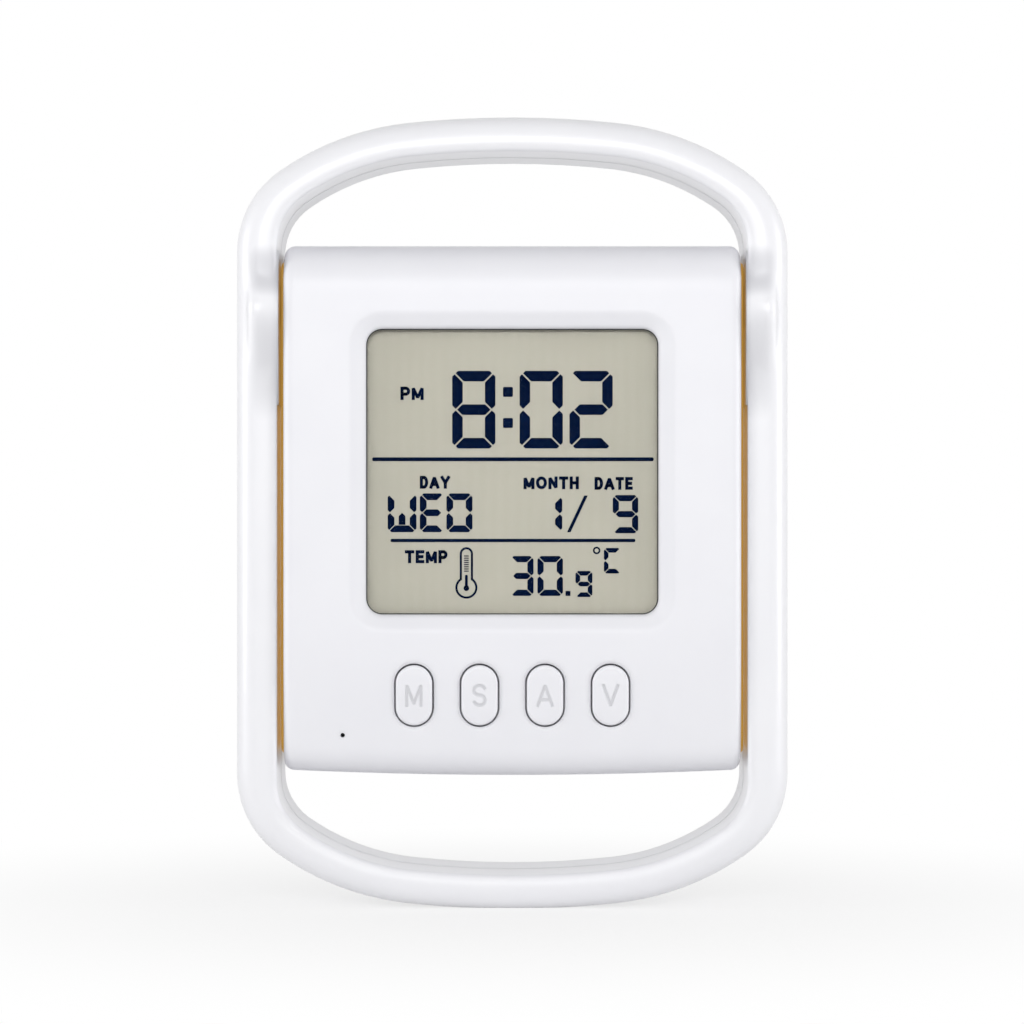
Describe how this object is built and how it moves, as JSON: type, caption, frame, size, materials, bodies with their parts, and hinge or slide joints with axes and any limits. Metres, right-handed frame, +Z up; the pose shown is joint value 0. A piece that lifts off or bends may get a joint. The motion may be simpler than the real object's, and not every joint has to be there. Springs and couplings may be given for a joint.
{
  "type": "table clock",
  "caption": "White table clock: a display body with oval buttons swings on friction pivots inside a rounded hoop that serves as stand and carrying handle.",
  "frame": {"origin": "middle of the flat foot under the hoop", "axes": "+X to the viewer's right, -Y out of the display face, +Z up along the hoop"},
  "size_m": [0.0996, 0.0294, 0.1428],
  "materials": {
    "white_gloss": "glossy moulded white",
    "white_satin": "satin moulded white",
    "amber_clear": "tinted translucent",
    "clear_acrylic": "clear polished",
    "lcd_glass": "grey reflective display",
    "black_plastic": "moulded black",
    "grey_rubber": "matt",
    "green_board": "solder mask",
    "bright_metal": "nickel plated",
    "cell_jacket": "printed sleeve, plain",
    "natural_nylon": "moulded"
  },
  "bodies": {
    "stand": {"hoop_front": "white_gloss", "hoop_rear": "white_gloss", "hub_bush_left": "natural_nylon", "hub_bush_right": "natural_nylon", "hoop_screws": "bright_metal"},
    "clock": {"front_shell": "white_satin", "rear_cover": "white_satin", "side_cheek_left": "amber_clear", "side_cheek_right": "amber_clear", "display_lens": "clear_acrylic", "lcd_panel": "lcd_glass", "lcd_holder": "black_plastic", "zebra_strip": "grey_rubber", "circuit_board": "green_board", "controller_chip": "black_plastic", "clock_crystal": "bright_metal", "buzzer": "black_plastic", "temperature_sensor": "black_plastic", "tact_switches": "black_plastic", "battery_cell_upper": "cell_jacket", "battery_cell_lower": "cell_jacket", "battery_contact_link": "bright_metal", "battery_contact_plus": "bright_metal", "battery_contact_minus": "bright_metal", "case_screws": "bright_metal", "board_screws": "bright_metal", "pivot_pin_left": "bright_metal", "pivot_pin_right": "bright_metal", "friction_collar_left": "grey_rubber", "friction_collar_right": "grey_rubber"},
    "battery_door": {"battery_door": "white_satin"},
    "button_mode": {"button_mode": "white_satin"},
    "button_set": {"button_set": "white_satin"},
    "button_up": {"button_up": "white_satin"},
    "button_down": {"button_down": "white_satin"}
  },
  "joints": [
    {"name": "body_swing", "type": "hinge", "parent": "stand", "child": "clock", "pos_m": [0, 0, 0.10902], "axis": [1, 0, 0], "range_deg": [-100, 100]},
    {"name": "door_swing", "type": "hinge", "parent": "clock", "child": "battery_door", "pos_m": [0, 0.0127, 0.03782], "axis": [-1, 0, 0], "range_deg": [0, 100]},
    {"name": "button_mode_press", "type": "slide", "parent": "clock", "child": "button_mode", "axis": [0, 1, 0], "range_m": [0, 0.0007], "stiffness_N_per_m": 1500},
    {"name": "button_set_press", "type": "slide", "parent": "clock", "child": "button_set", "axis": [0, 1, 0], "range_m": [0, 0.0007], "stiffness_N_per_m": 1500},
    {"name": "button_up_press", "type": "slide", "parent": "clock", "child": "button_up", "axis": [0, 1, 0], "range_m": [0, 0.0007], "stiffness_N_per_m": 1500},
    {"name": "button_down_press", "type": "slide", "parent": "clock", "child": "button_down", "axis": [0, 1, 0], "range_m": [0, 0.0007], "stiffness_N_per_m": 1500}
  ]
}
